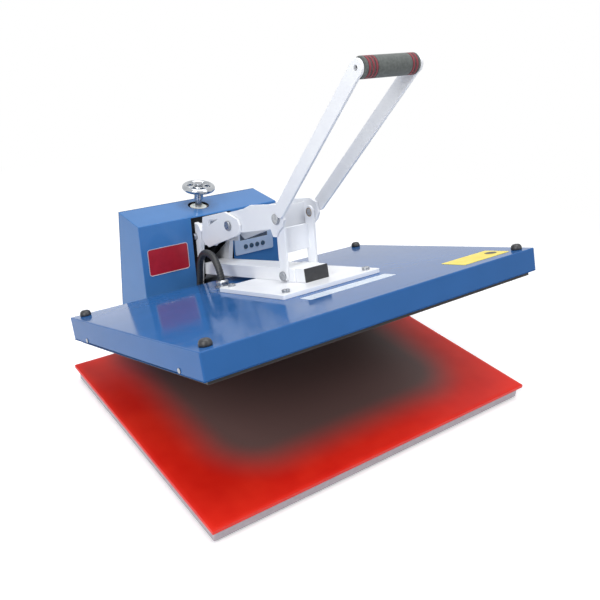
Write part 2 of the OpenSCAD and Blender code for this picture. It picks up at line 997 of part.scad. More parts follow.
module strut_bushes() {
    color("#b08a4a")
        at_bed()
            difference() {
                for (side = [-1, 1])
                    bar(elbow, toggle_pin_d + 2, leg_t, side * (leg_x + leg_t / 2));
                bar(elbow, toggle_pin_d + 2 * running, 100);
            }
}

// ---- Handle ----

module cheek_outline() {
    polygon([[-20, -16], [-14, -24], [link_len * 0.32, -26], [link_len * 0.5, -31],
        [link_len + 2, -25], [link_len + 19, -16], [link_len + 21, 4], [link_len + 12, 15],
        [link_len - 6, 24], [link_len - 12, 32], [link_len - 22, 31], [link_len - 26, 17],
        [-12, 17], [-20, 8]]);
}

module handle_cheeks() {
    color(white_paint)
        at_bed()
            difference() {
                union() {
                    pair(lever_x, cheek_t) along_lever() cheek_outline();
                    yz(-lever_x, 2 * lever_x)
                        along_lever()
                            polygon([[link_len - 15, -20], [link_len - 18.5, -20],
                                [link_len - 25.5, 22], [link_len - 22, 22]]);
                }
                bar(nose, toggle_pin_d + 2 * running, 100);
                bar(elbow, toggle_pin_d + 2 * running, 100);
            }
}

head_t = 5;
head_d = 19;

// The elbow's pins join the handle to the strut, and short bushes fill the handle's rear bores.
module handle_pins() {
    color(steel)
        at_bed()
            for (side = [-1, 1]) {
                bar(elbow, toggle_pin_d, lever_x + cheek_t - leg_x, side * (leg_x + lever_x + cheek_t) / 2);
                bar(elbow, head_d, head_t, side * (lever_x + cheek_t + head_t / 2));
                bar(nose, toggle_pin_d, cheek_t, side * (lever_x + cheek_t / 2));
            }
}

arm_x = lever_x + cheek_t + 0.6;
arm_start = 23;
grip_x = grip_len / 2 + 0.3;
arm_splay = asin((grip_x - arm_x) / (arm_len - arm_start));
grip_at = elbow + arm_len * [cos(lever_turn - arm_bend), sin(lever_turn - arm_bend)];

module arm_bar() {
    linear_extrude(arm_t) {
        translate([0, -arm_w / 2]) square([arm_len - arm_start, arm_w]);
        circle(d = arm_w);
        translate([arm_len - arm_start, 0]) circle(d = arm_w + 2);
    }
}

module arm_place() {
    translate([0, elbow[0], elbow[1]])
        rotate([lever_turn - arm_bend, 0, 0])
            translate([arm_x, arm_start, 0])
                rotate([0, 0, -arm_splay])
                    rotate([90, 0, 90])
                        children();
}

module handle_arms() {
    color(white_paint)
        at_bed()
            difference() {
                union() {
                    arm_place() arm_bar();
                    mirror([1, 0, 0]) arm_place() arm_bar();
                }
                bar(grip_at, 8.2, 200);
            }
}

module grip_tube() {
    color(steel)
        at_bed()
            difference() {
                bar(grip_at, grip_tube_d, grip_len - 1);
                bar(grip_at, 8 + 2 * running, grip_len + 2);
            }
}

module grip_foam() {
    color("#4a4e4d")
        at_bed()
            difference() {
                bar(grip_at, grip_d, grip_len - 1);
                bar(grip_at, grip_tube_d + 2 * running, grip_len + 2);
            }
}

// ---- Pressure rocker ----

tail_end = rocker_y + tail_len;
trunnion_d = 26;
journal_d = 12;

tail_x = 24;
rear_edge = 303;

module rocker_outline() {
    difference() {
        polygon([[176, 297], [167, 288], [166, 274], [172, 266], [276, 200], [rear_edge, 206],
            [rear_edge, 256], [221, 296]]);
        polygon([[244, 273], [279, 246], [279, 259]]);
    }
}

module tail_outline() {
    polygon([[276, 226], [276, 200], [rocker_y - 12, 182], [rocker_y + 10, 180], [tail_end, 184],
        [tail_end + 13, 192], [tail_end + 13, 208], [tail_end, 216], [rocker_y + 14, 222],
        [rear_edge, 238], [rear_edge, 250], [284, 262], [276, 262]]);
}

module rocker_plates() {
    color(white_paint)
        at_bed()
            difference() {
                union() {
                    pair(rocker_x, rocker_t) rocker_outline();
                    pair(tail_x, rocker_t) tail_outline();
                    yz(-rocker_x, 2 * rocker_x)
                        polygon([[270, 266], [rear_edge, 248], [rear_edge, 242], [268, 261]]);
                }
                bar(nose, toggle_pin_d + 2 * running, 120);
                bar([rocker_y, rocker_z], toggle_pin_d + 2 * running, 120);
                bar([tail_end, rocker_z], journal_d + 2 * running, 120);
            }
}

module rocker_studs() {
    color(steel)
        at_bed()
            for (side = [-1, 1]) {
                bar(nose, toggle_pin_d, rocker_t, side * (rocker_x + rocker_t / 2));
                bar(nose, head_d, head_t, side * (rocker_x + rocker_t + head_t / 2));
            }
}

module trunnion_nut() {
    color(steel)
        at_bed()
            difference() {
                union() {
                    bar([tail_end, rocker_z], trunnion_d, 2 * tail_x - 1);
                    bar([tail_end, rocker_z], journal_d, 2 * (tail_x + rocker_t));
                }
                translate([0, screw_y, rocker_z - trunnion_d])
                    cylinder(d = screw_d + 1.4, h = 2 * trunnion_d);
            }
}

// ---- Handwheel and screw ----

rim_r = wheel_d / 2 - 6;
rim_d = 12;
hub_d = 26;
spokes = 5;
spoke_w = 10;
spoke_t = 6;
neck_low = -26;
hub_low = -14;
screw_end_d = screw_d - 2;

module handwheel() {
    color("#d4d7dc")
        at_bed()
            translate([0, screw_y, wheel_z])
                difference() {
                    union() {
                        rotate_extrude() translate([rim_r, 0]) circle(d = rim_d, $fn = 24);
                        translate([0, 0, hub_low]) cylinder(d = hub_d, h = 18);
                        translate([0, 0, neck_low]) cylinder(d = hub_d - 6, h = hub_low - neck_low + 1);
                        for (i = [0:spokes - 1])
                            rotate([0, 0, 90 + i * 360 / spokes])
                                translate([hub_d / 2 - 3, -spoke_w / 2, -spoke_t / 2])
                                    cube([rim_r - hub_d / 2 + 1, spoke_w, spoke_t]);
                    }
                    translate([0, 0, -30]) cylinder(d = screw_end_d + 2 * running, h = 40);
                }
}

module pressure_screw() {
    color(steel)
        at_bed()
            translate([0, screw_y, 0]) {
                translate([0, 0, block_low + block_h - seat_depth])
                    cylinder(d = screw_d, h = wheel_z - 26.2 - block_low - block_h + seat_depth);
                translate([0, 0, wheel_z - 28]) cylinder(d = screw_end_d, h = 34);
                translate([0, 0, wheel_z + 4.2]) cylinder(d = 17, h = 5.5);
            }
}

// ---- Moving controls ----

button_out = 1.6;

module button(i) {
    color(black_plastic)
        on_front(panel_x, panel_z)
            translate([button_x[i], button_up, -4]) {
                cylinder(d = button_d, h = 4 + panel_t + button_out);
                cylinder(d = button_d + 3, h = 1.4);
            }
}

module button_1() { button(0); }

module button_2() { button(1); }

module button_3() { button(2); }

module button_4() { button(3); }

module power_switch() {
    color("#b01c24")
        at_bed()
            translate([switch_x, switch_axis_y, switch_z])
                union() {
                    yz(-10.6, 21.2)
                        polygon([[-1.5, -6.6], [4.5, -6.4], [3.4, 0], [6, 6.2], [-1.5, 6.6]]);
                    bar([0, 0], switch_pin_d, switch_pin_len);
                }
}

side_rails();
cross_members();
rubber_feet();
foot_screws();
bed_plate();
silicone_pad();
uprights();
hinge_pin();
pin_clips();
thrust_block();
guide_bridge();
screw_guide();
rocker_pin();
box_floor();
box_shell();
box_back();
box_screws();
control_panel();
display_window();
controller_board();
power_relay();
mains_inlet();
switch_housing();
name_badge();
conduit_grommet();
heater_conduit();
platen_cover();
insulation_blanket();
heater_plate();
heating_element();
thermostat();
corner_studs();
corner_knobs();
cover_screws();
mounting_plate();
plate_screws();
lifting_beam();
beam_plug();
pivot_cheeks();
hinge_bush();
strut_pin();
conduit_gland();
label_plate();
strut();
strut_bushes();
handle_cheeks();
handle_pins();
handle_arms();
grip_tube();
grip_foam();
rocker_plates();
rocker_studs();
trunnion_nut();
handwheel();
pressure_screw();
button_1();
button_2();
button_3();
button_4();
power_switch();
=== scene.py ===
import json
import math

import bmesh
import bpy
from mathutils import Matrix, Vector

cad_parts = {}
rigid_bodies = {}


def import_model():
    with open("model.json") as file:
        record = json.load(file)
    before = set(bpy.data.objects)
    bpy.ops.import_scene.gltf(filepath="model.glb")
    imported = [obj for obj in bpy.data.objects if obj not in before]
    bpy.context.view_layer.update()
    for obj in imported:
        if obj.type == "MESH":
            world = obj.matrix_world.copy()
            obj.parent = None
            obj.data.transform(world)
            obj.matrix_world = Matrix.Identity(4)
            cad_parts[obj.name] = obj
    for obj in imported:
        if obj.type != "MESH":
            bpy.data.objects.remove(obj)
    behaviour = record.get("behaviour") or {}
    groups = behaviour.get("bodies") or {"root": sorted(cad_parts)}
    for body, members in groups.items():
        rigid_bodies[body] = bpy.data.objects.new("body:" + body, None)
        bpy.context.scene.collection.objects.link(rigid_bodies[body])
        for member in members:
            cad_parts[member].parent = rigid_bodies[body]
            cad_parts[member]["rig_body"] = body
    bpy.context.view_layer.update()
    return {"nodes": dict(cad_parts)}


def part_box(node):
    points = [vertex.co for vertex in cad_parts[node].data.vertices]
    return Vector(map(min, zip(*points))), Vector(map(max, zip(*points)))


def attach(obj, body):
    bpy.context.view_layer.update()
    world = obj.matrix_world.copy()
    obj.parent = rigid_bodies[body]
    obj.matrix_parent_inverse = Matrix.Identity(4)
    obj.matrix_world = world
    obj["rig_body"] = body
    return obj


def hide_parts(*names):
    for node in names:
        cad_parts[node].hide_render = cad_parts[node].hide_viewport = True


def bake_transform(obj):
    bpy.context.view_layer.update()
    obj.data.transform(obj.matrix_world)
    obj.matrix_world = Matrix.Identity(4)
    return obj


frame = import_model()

MM = 0.001

# ---- Studio ----
# The press stands on a white floor in an even white room. The camera looks down
# on its front left corner through a 44 mm lens, from about 1.2 m away.

scene = bpy.context.scene
scene.view_settings.view_transform = "Standard"


def linear(hex_colour):
    """An sRGB hex colour as the linear colour that a shader takes."""
    parts = [int(hex_colour[i:i + 2], 16) / 255 for i in (1, 3, 5)]
    return tuple(p / 12.92 if p <= 0.04045 else ((p + 0.055) / 1.055) ** 2.4 for p in parts) + (1,)


def add(tree, kind, inputs=None, **settings):
    """Adds a shader node with its settings. An input is a value, or the socket that feeds it."""
    made = tree.nodes.new(kind)
    for name, value in settings.items():
        setattr(made, name, value)
    for socket, value in (inputs or {}).items():
        if isinstance(value, bpy.types.NodeSocket):
            tree.links.new(value, made.inputs[socket])
        else:
            made.inputs[socket].default_value = value
    return made


def place(obj):
    """Puts a new object in the scene."""
    scene.collection.objects.link(obj)
    return obj


camera_at = Vector((-0.7561, -0.9944, 0.8208))
looks_at = Vector((-0.0788, -0.1638, 0.2500))
camera_roll = math.radians(4.61)

camera = place(bpy.data.objects.new("camera", bpy.data.cameras.new("camera")))
camera.data.lens = 44.12
camera.data.sensor_width = 36
camera.data.clip_start = 0.02
aim = (looks_at - camera_at).to_track_quat("-Z", "Y").to_matrix().to_4x4()
roll = Matrix.Rotation(camera_roll, 4, "Z")
camera.matrix_world = Matrix.Translation(camera_at) @ aim @ roll
scene.camera = camera

lamps_face = Vector((0, 0, 0.1))


def softbox(name, at, size, watts):
    """A square studio lamp that faces the foot of the press."""
    lamp = place(bpy.data.objects.new(name, bpy.data.lights.new(name, "AREA")))
    lamp.data.size = size
    lamp.data.energy = watts
    lamp.location = at
    lamp.rotation_euler = (lamps_face - Vector(at)).to_track_quat("-Z", "Y").to_euler()


softbox("key", at=(-2.1, -0.9, 1.7), size=1.2, watts=43)
softbox("top", at=(0.1, 0.2, 2.5), size=1.8, watts=44)
softbox("front_fill", at=(0.9, -1.9, 1.9), size=1.2, watts=17)


def seen_directly(tree):
    """One for rays from the camera, a mirror or glass, and nought for all other light."""
    ray = add(tree, "ShaderNodeLightPath").outputs
    seen = ray["Is Camera Ray"]
    for kind in ("Is Glossy Ray", "Is Transmission Ray"):
        seen = add(tree, "ShaderNodeMath", {0: seen, 1: ray[kind]}, operation="MAXIMUM").outputs[0]
    return seen


# The room is seen as white, and lights the press much more weakly than that.
room_light = 0.2
room = bpy.data.worlds.new("white_room")
room.use_nodes = True
scene.world = room
room_tree = room.node_tree
room_tree.nodes.clear()
seen = seen_directly(room_tree)
lit = add(room_tree, "ShaderNodeBackground", {"Color": linear("#f4f6fa"), "Strength": room_light})
shown = add(room_tree, "ShaderNodeBackground", {"Color": linear("#ffffff"), "Strength": 1})
mixed = add(room_tree, "ShaderNodeMixShader", {0: seen, 1: lit.outputs[0], 2: shown.outputs[0]})
add(room_tree, "ShaderNodeOutputWorld", {"Surface": mixed.outputs[0]})

# Paper: matt white. It is lifted a little where it is seen, and fades with distance to the
# white of the room, so that no horizon shows.
paper_lift = 0.3
fade_from, fade_to = 0.7, 1.4
floor_look = bpy.data.materials.new("white_paper_sweep")
floor_look.use_nodes = True
floor_tree = floor_look.node_tree
floor_tree.nodes.clear()
seen = seen_directly(floor_tree)
paper = add(floor_tree, "ShaderNodeBsdfDiffuse", {"Color": linear("#f6f7f9")})
glow = add(floor_tree, "ShaderNodeEmission", {"Color": linear("#ffffff"), "Strength": paper_lift})
near = add(floor_tree, "ShaderNodeAddShader", {0: paper.outputs[0], 1: glow.outputs[0]})
white = add(floor_tree, "ShaderNodeEmission", {"Color": linear("#ffffff"), "Strength": 1})
at = add(floor_tree, "ShaderNodeTexCoord").outputs["Object"]
away = add(floor_tree, "ShaderNodeVectorMath", {0: at}, operation="LENGTH").outputs["Value"]
faded = add(floor_tree, "ShaderNodeMapRange",
    {"Value": away, "From Min": fade_from, "From Max": fade_to}).outputs["Result"]
shown = add(floor_tree, "ShaderNodeMixShader", {0: faded, 1: near.outputs[0], 2: white.outputs[0]})
mixed = add(floor_tree, "ShaderNodeMixShader", {0: seen, 1: paper.outputs[0], 2: shown.outputs[0]})
add(floor_tree, "ShaderNodeOutputMaterial", {"Surface": mixed.outputs[0]})
# The floor is only seen as white. It is no lamp, so no light is sampled from it.
floor_look.cycles.emission_sampling = "NONE"

floor_mesh = bpy.data.meshes.new("floor")
floor_half = 14
floor_mesh.from_pydata(
    [(x * floor_half, y * floor_half, 0) for x, y in ((-1, -1), (1, -1), (1, 1), (-1, 1))],
    [], [(0, 1, 2, 3)])
floor = place(bpy.data.objects.new("floor", floor_mesh))
floor_mesh.materials.append(floor_look)

# ---- Heater conduit ----
# A black spiral conduit, 14 mm across, carries the heater and sensor leads. It leaves the
# box through a rubber grommet, rises behind the platen, arches over its rear edge and
# drops into a gland. It is moulded in PVC, so it is smooth with a low helical rib.


def wandering(tree, patch_mm, low=0, high=1, detail=2):
    """A value that wanders from low to high over patches of a real size, fixed to the piece.

    Noise lies around a half, so its middle part is stretched over the range."""
    noise_low, noise_high = 0.3, 0.7
    at = add(tree, "ShaderNodeTexCoord").outputs["Object"]
    noise = add(tree, "ShaderNodeTexNoise",
        {"Vector": at, "Scale": 1 / (patch_mm * MM), "Detail": detail}).outputs["Fac"]
    return add(tree, "ShaderNodeMapRange", {"Value": noise,
        "From Min": noise_low, "From Max": noise_high,
        "To Min": low, "To Max": high}).outputs["Result"]


def look(name, **constants):
    """A material of one surface shader, with its constant values set."""
    made = bpy.data.materials.new(name)
    made.use_nodes = True
    shader = made.node_tree.nodes["Principled BSDF"]
    for socket, value in constants.items():
        shader.inputs[socket.replace("_", " ")].default_value = value
    return made, made.node_tree, shader.inputs


def wire(tree, inputs, **sources):
    """Feeds sockets of the surface shader."""
    for socket, source in sources.items():
        tree.links.new(source, inputs[socket.replace("_", " ")])


def material(name, colours, roughness, patch_mm, wear_mm, grain_mm, relief_mm, strength,
        detail=2, **constants):
    """A material whose colour and gloss wander over patches of a real size, with a fine relief."""
    made, tree, shader = look(name, **constants)
    first, second = (linear(colour) for colour in colours)
    patches = wandering(tree, patch_mm)
    tint = add(tree, "ShaderNodeMix", {"Factor": patches, "A": first, "B": second},
        data_type="RGBA")
    at = add(tree, "ShaderNodeTexCoord").outputs["Object"]
    grain = add(tree, "ShaderNodeTexNoise",
        {"Vector": at, "Scale": 1 / (grain_mm * MM), "Detail": detail}).outputs["Fac"]
    relief = add(tree, "ShaderNodeBump",
        {"Height": grain, "Distance": relief_mm * MM, "Strength": strength})
    wire(tree, shader, Base_Color=tint.outputs["Result"],
        Roughness=wandering(tree, wear_mm, *roughness), Normal=relief.outputs["Normal"])
    return made


# Moulded PVC: a deep grey that is never quite black, with a dull sheen.
moulded_pvc = material("moulded_pvc", ("#111215", "#1d1f23"), (0.38, 0.5),
    patch_mm=3, wear_mm=12, grain_mm=1.6, relief_mm=0.05, strength=0.5,
    IOR=1.53)

conduit_route_mm = [
    (-68, 284, 42), (-68, 268.5, 49), (-68, 252.5, 54), (-68, 237.5, 57.5), (-68, 222.5, 60.5),
    (-68, 207.5, 63.5), (-68, 193.5, 68.5), (-68, 183.5, 79), (-68, 179, 94), (-68, 178.5, 111),
    (-68, 178.5, 128), (-68, 178.5, 146), (-68.5, 178.5, 163.9), (-69, 175.1, 181.4),
    (-70, 164.8, 196.9), (-71, 151.5, 206.2), (-72, 131.8, 210.6), (-73, 115.8, 207.8),
    (-74, 98.8, 196.9)]
gland_mouth_mm = (-74, 86.39, 175.92)
gland_run_mm = (-74, 88.4, 181.15)
conduit_radius = 7 * MM
rib_pitch = 5 * MM
rib_depth = 0.45 * MM
rings_per_rib = 6


def body_of(node):
    """The name of the body that a CAD node rides on."""
    return frame["nodes"][node]["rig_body"]


def rounded_path(points):
    """A path with its corners cut once, as the conduit's solid has them."""
    cut = [points[0]]
    for a, b in zip(points, points[1:]):
        cut += [a.lerp(b, 0.25), a.lerp(b, 0.75)]
    return cut + [points[-1]]


def resampled(points, step):
    """The same path with points a fixed step apart."""
    out, left = [points[0]], step
    for a, b in zip(points, points[1:]):
        gap, done = (b - a).length, 0.0
        while gap - done >= left:
            done += left
            left = step
            out.append(a.lerp(b, done / gap))
        left -= gap - done
    if (out[-1] - points[-1]).length > step / 4:
        out.append(points[-1])
    else:
        out[-1] = points[-1]
    return out


def tube_along(name, points, radius_at, sides):
    """A closed tube along a path. radius_at(i, k) gives its radius at ring i and side k."""
    mesh = bmesh.new()
    rings = []
    for i, here in enumerate(points):
        ahead = (points[min(i + 1, len(points) - 1)] - points[max(i - 1, 0)]).normalized()
        across = ahead.cross(Vector((1, 0, 0))).normalized()
        up = ahead.cross(across)
        rings.append([
            mesh.verts.new(here + radius_at(i, k) * (
                math.cos(math.tau * k / sides) * across + math.sin(math.tau * k / sides) * up))
            for k in range(sides)])
    for a, b in zip(rings, rings[1:]):
        for k in range(sides):
            mesh.faces.new((a[k], a[(k + 1) % sides], b[(k + 1) % sides], b[k]))
    mesh.faces.new(list(reversed(rings[0])))
    mesh.faces.new(rings[-1])
    mesh.normal_update()
    bmesh.ops.recalc_face_normals(mesh, faces=mesh.faces)
    data = bpy.data.meshes.new(name)
    mesh.to_mesh(data)
    mesh.free()
    return place(bpy.data.objects.new(name, data))


def finish(piece, surface, smooth_under=35):
    """Gives a new piece its material, and smooths every edge that bends less than an angle."""
    piece.data.materials.clear()
    piece.data.materials.append(surface)
    piece.data.shade_smooth()
    piece.data.set_sharp_from_angle(angle=math.radians(smooth_under))
    return piece


route = [Vector(p) * MM for p in conduit_route_mm + [gland_run_mm, gland_mouth_mm]]
conduit_path = resampled(rounded_path(route), rib_pitch / rings_per_rib)
conduit_sides = 20


def ribbed(i, k):
    """The radius of the conduit: a low rib winds round it once in each pitch."""
    turn = (i / rings_per_rib - k / conduit_sides) * math.tau
    return conduit_radius - rib_depth * (0.5 - 0.5 * math.cos(turn)) ** 2


conduit = finish(tube_along("conduit_hose", conduit_path, ribbed, conduit_sides), moulded_pvc,
    smooth_under=60)
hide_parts("heater_conduit")
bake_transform(conduit)


same_point = 0.002 * MM
flat_angle = math.radians(0.6)


def worked(node, surface, edge_mm, segments=2, smooth_under=35):
    """A CAD piece with its edges broken as the real one's are, in its own material.

    Flat faces are joined up first, so that the bevel runs along real edges only."""
    source = frame["nodes"][node]
    data = source.data.copy()
    mesh = bmesh.new()
    mesh.from_mesh(data)
    bmesh.ops.remove_doubles(mesh, verts=mesh.verts, dist=same_point)
    bmesh.ops.dissolve_limit(mesh, angle_limit=flat_angle, verts=mesh.verts, edges=mesh.edges)
    mesh.to_mesh(data)
    mesh.free()
    piece = place(bpy.data.objects.new(node + "_worked", data))
    finish(piece, surface, smooth_under)
    edge = piece.modifiers.new("broken_edge", "BEVEL")
    edge.width = edge_mm * MM
    edge.segments = segments
    edge.limit_method = "ANGLE"
    edge.angle_limit = math.radians(smooth_under)
    edge.use_clamp_overlap = False
    edge.harden_normals = True
    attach(piece, body_of(node))
    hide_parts(node)
    return piece


# Zinc plate over turned steel: bright, cool, with fine lathe marks that blur what it mirrors.
zinc_plated_steel = material("zinc_plated_steel", ("#94979c", "#aeb1b5"), (0.22, 0.36),
    patch_mm=9, wear_mm=2.5, grain_mm=1.2, detail=4, relief_mm=0.03, strength=0.4,
    Metallic=1.0)

# Nitrile rubber: matt black, slightly dusty on its faces.
nitrile_rubber = material("nitrile_rubber", ("#131314", "#232324"), (0.6, 0.78),
    patch_mm=14, wear_mm=5, grain_mm=1.5, relief_mm=0.06, strength=0.5,
    IOR=1.52)

worked("conduit_grommet", nitrile_rubber, 0.6)
worked("conduit_gland", zinc_plated_steel, 0.5)

# ---- Chassis ----
# Two rectangular tubes run from the front of the bed to the back of the control box,
# with cross members welded between them. All of it is mild steel in satin black enamel.

# Satin enamel: near black, brushed on thinly, so its sheen wanders.
satin_black_enamel = material("satin_black_enamel", ("#161617", "#232325"), (0.36, 0.5),
    patch_mm=30, wear_mm=8, grain_mm=3, relief_mm=0.05, strength=0.5,
    IOR=1.5)

worked("side_rails", satin_black_enamel, 1.2)
worked("cross_members", satin_black_enamel, 1.0)
worked("rubber_feet", nitrile_rubber, 0.8)
worked("foot_screws", zinc_plated_steel, 0.3)

# ---- Bed ----
# The lower platen is a pressed steel tray, turned upside down and screwed to the rails.
# Its paint is a grey hammer finish, which shrinks into shallow cells as it dries.

# Hammer enamel: mauve grey with a metal flake, in cells of about 4 mm.
cell_mm = 4.5
cell_depth_mm = 0.12
hollow, crest = 0.3, 0.7
flake_patch_mm = 6
grey_hammer_enamel, tree, shader = look("grey_hammer_enamel", IOR=1.5, Metallic=0.15)
at = add(tree, "ShaderNodeTexCoord").outputs["Object"]
cells = add(tree, "ShaderNodeTexVoronoi", {"Vector": at, "Scale": 1 / (cell_mm * MM)},
    feature="SMOOTH_F1").outputs["Distance"]
flake = add(tree, "ShaderNodeMix", {"Factor": wandering(tree, flake_patch_mm, detail=4),
    "A": linear("#a39ca3"), "B": linear("#b0a9b0")}, data_type="RGBA")
# The crests between the cells are duller than their hollows.
sheen = add(tree, "ShaderNodeMapRange",
    {"Value": cells, "From Min": hollow, "From Max": crest, "To Min": 0.32, "To Max": 0.5})
relief = add(tree, "ShaderNodeBump",
    {"Height": cells, "Distance": cell_depth_mm * MM, "Strength": 0.3})
wire(tree, shader, Base_Color=flake.outputs["Result"], Roughness=sheen.outputs["Result"],
    Normal=relief.outputs["Normal"])

worked("bed_plate", grey_hammer_enamel, 1.6, segments=3)

# ---- Silicone pad ----
# A 7 mm sheet of red foamed silicone lies on the bed, held by its own tack. It is cast
# between plates, so its top is smooth, its cut edges are soft, and it has gone slightly
# wavy with heat.

# Cast silicone: saturated red, a waxy sheen, a fine cloth print from the casting plate.
cast_silicone, tree, shader = look("cast_silicone", IOR=1.43, Specular_IOR_Level=0.35)
at = add(tree, "ShaderNodeTexCoord").outputs["Object"]
# The print's real threads are 0.4 mm apart, too fine to show, so they are drawn 2 mm apart.
# At a scale of one, the bands of a wave texture lie close to 1 / pi of a metre apart.
thread_mm = 2
print_depth_mm = 0.02
warp, weft = (add(tree, "ShaderNodeTexWave",
    {"Vector": at, "Scale": 1 / (thread_mm * MM) / math.pi},
    wave_type="BANDS", bands_direction=direction).outputs["Fac"] for direction in ("X", "Y"))
cloth = add(tree, "ShaderNodeMath", {0: warp, 1: weft}, operation="MULTIPLY").outputs[0]
# Under the open platen the middle carries a painted shadow: a grey-brown, round-cornered field with
# a soft edge.
shadow_middle = (0, 0.03, 0.035)
shadow_half = (0.165, 0.2, 1)
shadow_full_within, shadow_gone_beyond = 0.05, 0.15
away = add(tree, "ShaderNodeVectorMath", {0: at, 1: shadow_middle}, operation="SUBTRACT").outputs[0]
away = add(tree, "ShaderNodeVectorMath", {0: away}, operation="ABSOLUTE").outputs[0]
away = add(tree, "ShaderNodeVectorMath", {0: away, 1: shadow_half}, operation="SUBTRACT").outputs[0]
away = add(tree, "ShaderNodeVectorMath", {0: away, 1: (0, 0, 0)}, operation="MAXIMUM").outputs[0]
away = add(tree, "ShaderNodeVectorMath", {0: away}, operation="LENGTH").outputs["Value"]
# How deep the painted shadow lies at each place: full within the field, gone beyond its soft edge.
painted_shadow_amount = add(tree, "ShaderNodeMapRange",
    {"Value": away, "From Min": shadow_gone_beyond, "From Max": shadow_full_within},
    interpolation_type="SMOOTHSTEP").outputs["Result"]
pad_red = add(tree, "ShaderNodeMix", {"Factor": wandering(tree, 70),
    "A": linear("#dc1d10"), "B": linear("#ea2c1a")}, data_type="RGBA").outputs["Result"]
# The pad's own red turns into the grey brown of the painted shadow toward the middle of the field.
pad_with_painted_shadow = add(tree, "ShaderNodeMix", {"Factor": painted_shadow_amount, "A": pad_red, "B": linear("#6a514e")},
    data_type="RGBA")
relief = add(tree, "ShaderNodeBump",
    {"Height": cloth, "Distance": print_depth_mm * MM, "Strength": 0.2})
wire(tree, shader, Base_Color=pad_with_painted_shadow.outputs["Result"], Roughness=wandering(tree, 60, 0.4, 0.45),
    Normal=relief.outputs["Normal"])


def wavy_sheet(name, low, high, edge, cell, wave):
    """A soft sheet between two corners, with rounded edges and a top that waves a little."""
    size = high - low
    counts = [max(2, round(size[i] / cell)) for i in (0, 1)]
    # A narrow strip of this share of a cell runs round the rim and makes the soft edge.
    strip = 0.3
    # The waves are about 200 mm long across the sheet and 270 mm along it.
    turn_x, turn_y = 31, 23
    start_x, start_y = 1.3, 0.4
    columns, rows = ([0, strip, 1, *range(2, count - 1), count - 1, count - strip, count]
        for count in counts)
    mesh = bmesh.new()
    grid = {}
    for i, u in enumerate(columns):
        for j, v in enumerate(rows):
            x, y = low.x + size.x * u / counts[0], low.y + size.y * v / counts[1]
            inset = min(u, counts[0] - u, v, counts[1] - v)
            swell = 0.5 + 0.5 * math.sin(x * turn_x + start_x) * math.cos(y * turn_y + start_y)
            sink = wave * swell if inset >= 1 else 0
            drop = edge * (1 - inset / strip) if inset < strip else 0
            grid[i, j] = mesh.verts.new((x, y, high.z - sink - drop))
    for i in range(len(columns) - 1):
        for j in range(len(rows) - 1):
            mesh.faces.new((grid[i, j], grid[i + 1, j], grid[i + 1, j + 1], grid[i, j + 1]))
    rim = [e for e in mesh.edges if e.is_boundary]
    made = bmesh.ops.extrude_edge_only(mesh, edges=rim)["geom"]
    for v in [g for g in made if isinstance(g, bmesh.types.BMVert)]:
        v.co.z = low.z
    bmesh.ops.contextual_create(mesh, geom=[e for e in mesh.edges if e.is_boundary])
    bmesh.ops.recalc_face_normals(mesh, faces=mesh.faces)
    data = bpy.data.meshes.new(name)
    mesh.to_mesh(data)
    mesh.free()
    return place(bpy.data.objects.new(name, data))


pad_low, pad_high = (Vector(corner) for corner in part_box("silicone_pad"))
pad = wavy_sheet("silicone_sheet", pad_low, pad_high, edge=0.9 * MM, cell=9 * MM, wave=0.25 * MM)
finish(pad, cast_silicone, smooth_under=50)
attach(pad, "frame")
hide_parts("silicone_pad")

# ---- Uprights ----
# Two flat steel bars stand either side of the lifting beam and carry the hinge pin below
# and the rocker pin above. They are sawn, drilled and powder coated white.


def powder_coat(name, light, dark, roughness, gloss, peel_mm):
    """Polyester powder coat: an even colour under a hard gloss, with a faint orange peel.

    The real peel is about 1.5 mm from crest to crest, too fine to show, so it is drawn at 8 mm."""
    return material(name, (light, dark), (roughness - 0.04, roughness + 0.05),
        patch_mm=60, wear_mm=20, grain_mm=8, relief_mm=peel_mm, strength=0.3,
        IOR=1.5, Specular_IOR_Level=gloss)


white_powder_coat = powder_coat("white_powder_coat", "#eff1f4", "#e9ebf0",
    roughness=0.34, gloss=0.4, peel_mm=0.02)

worked("uprights", white_powder_coat, 1.0)
worked("guide_bridge", white_powder_coat, 0.8)
worked("thrust_block", white_powder_coat, 0.8)
worked("hinge_pin", zinc_plated_steel, 0.8)
worked("pin_clips", zinc_plated_steel, 0.2)
worked("rocker_pin", zinc_plated_steel, 0.8)

# Turned nylon: milky white, slightly waxy.
turned_nylon = material("turned_nylon", ("#e9e8e2", "#f3f3ef"), (0.35, 0.48),
    patch_mm=8, wear_mm=3, grain_mm=1.5, relief_mm=0.04, strength=0.4,
    IOR=1.53, Subsurface_Weight=0.1)

worked("screw_guide", turned_nylon, 0.4)

# ---- Control box ----
# A folded steel shell with a sloping front stands over the uprights. It is powder coated
# in a glossy mid blue and screwed to a floor and a back. Its blue is painted a shade paler
# than the platen's cover as painted light, standing in for the stronger light on the box.

# This blue is the cover's blue painted lighter: painted light for the light that falls on the box.
paler_painted_blue_coat = powder_coat("paler_painted_blue_coat", "#4379b6", "#4076b2",
    roughness=0.13, gloss=0.2, peel_mm=0.035)

# Black primer: the sheet's inner side is dipped but gets no top coat, so it is dull and dark.
black_primer = material("black_primer", ("#141619", "#1e2125"), (0.6, 0.75),
    patch_mm=18, wear_mm=6, grain_mm=2, relief_mm=0.03, strength=0.4,
    IOR=1.45)

box_low, box_high = (Vector(corner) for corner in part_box("box_shell"))
box_middle = (box_low + box_high) / 2
for node, edge in (("box_shell", 1.6), ("box_floor", 0.5), ("box_back", 0.8)):
    sheet = worked(node, paler_painted_blue_coat, edge, segments=3)
    sheet.data.materials.append(black_primer)
    for face in sheet.data.polygons:
        if face.normal.dot(face.center - box_middle) < 0:
            face.material_index = 1
worked("box_screws", zinc_plated_steel, 0.6)

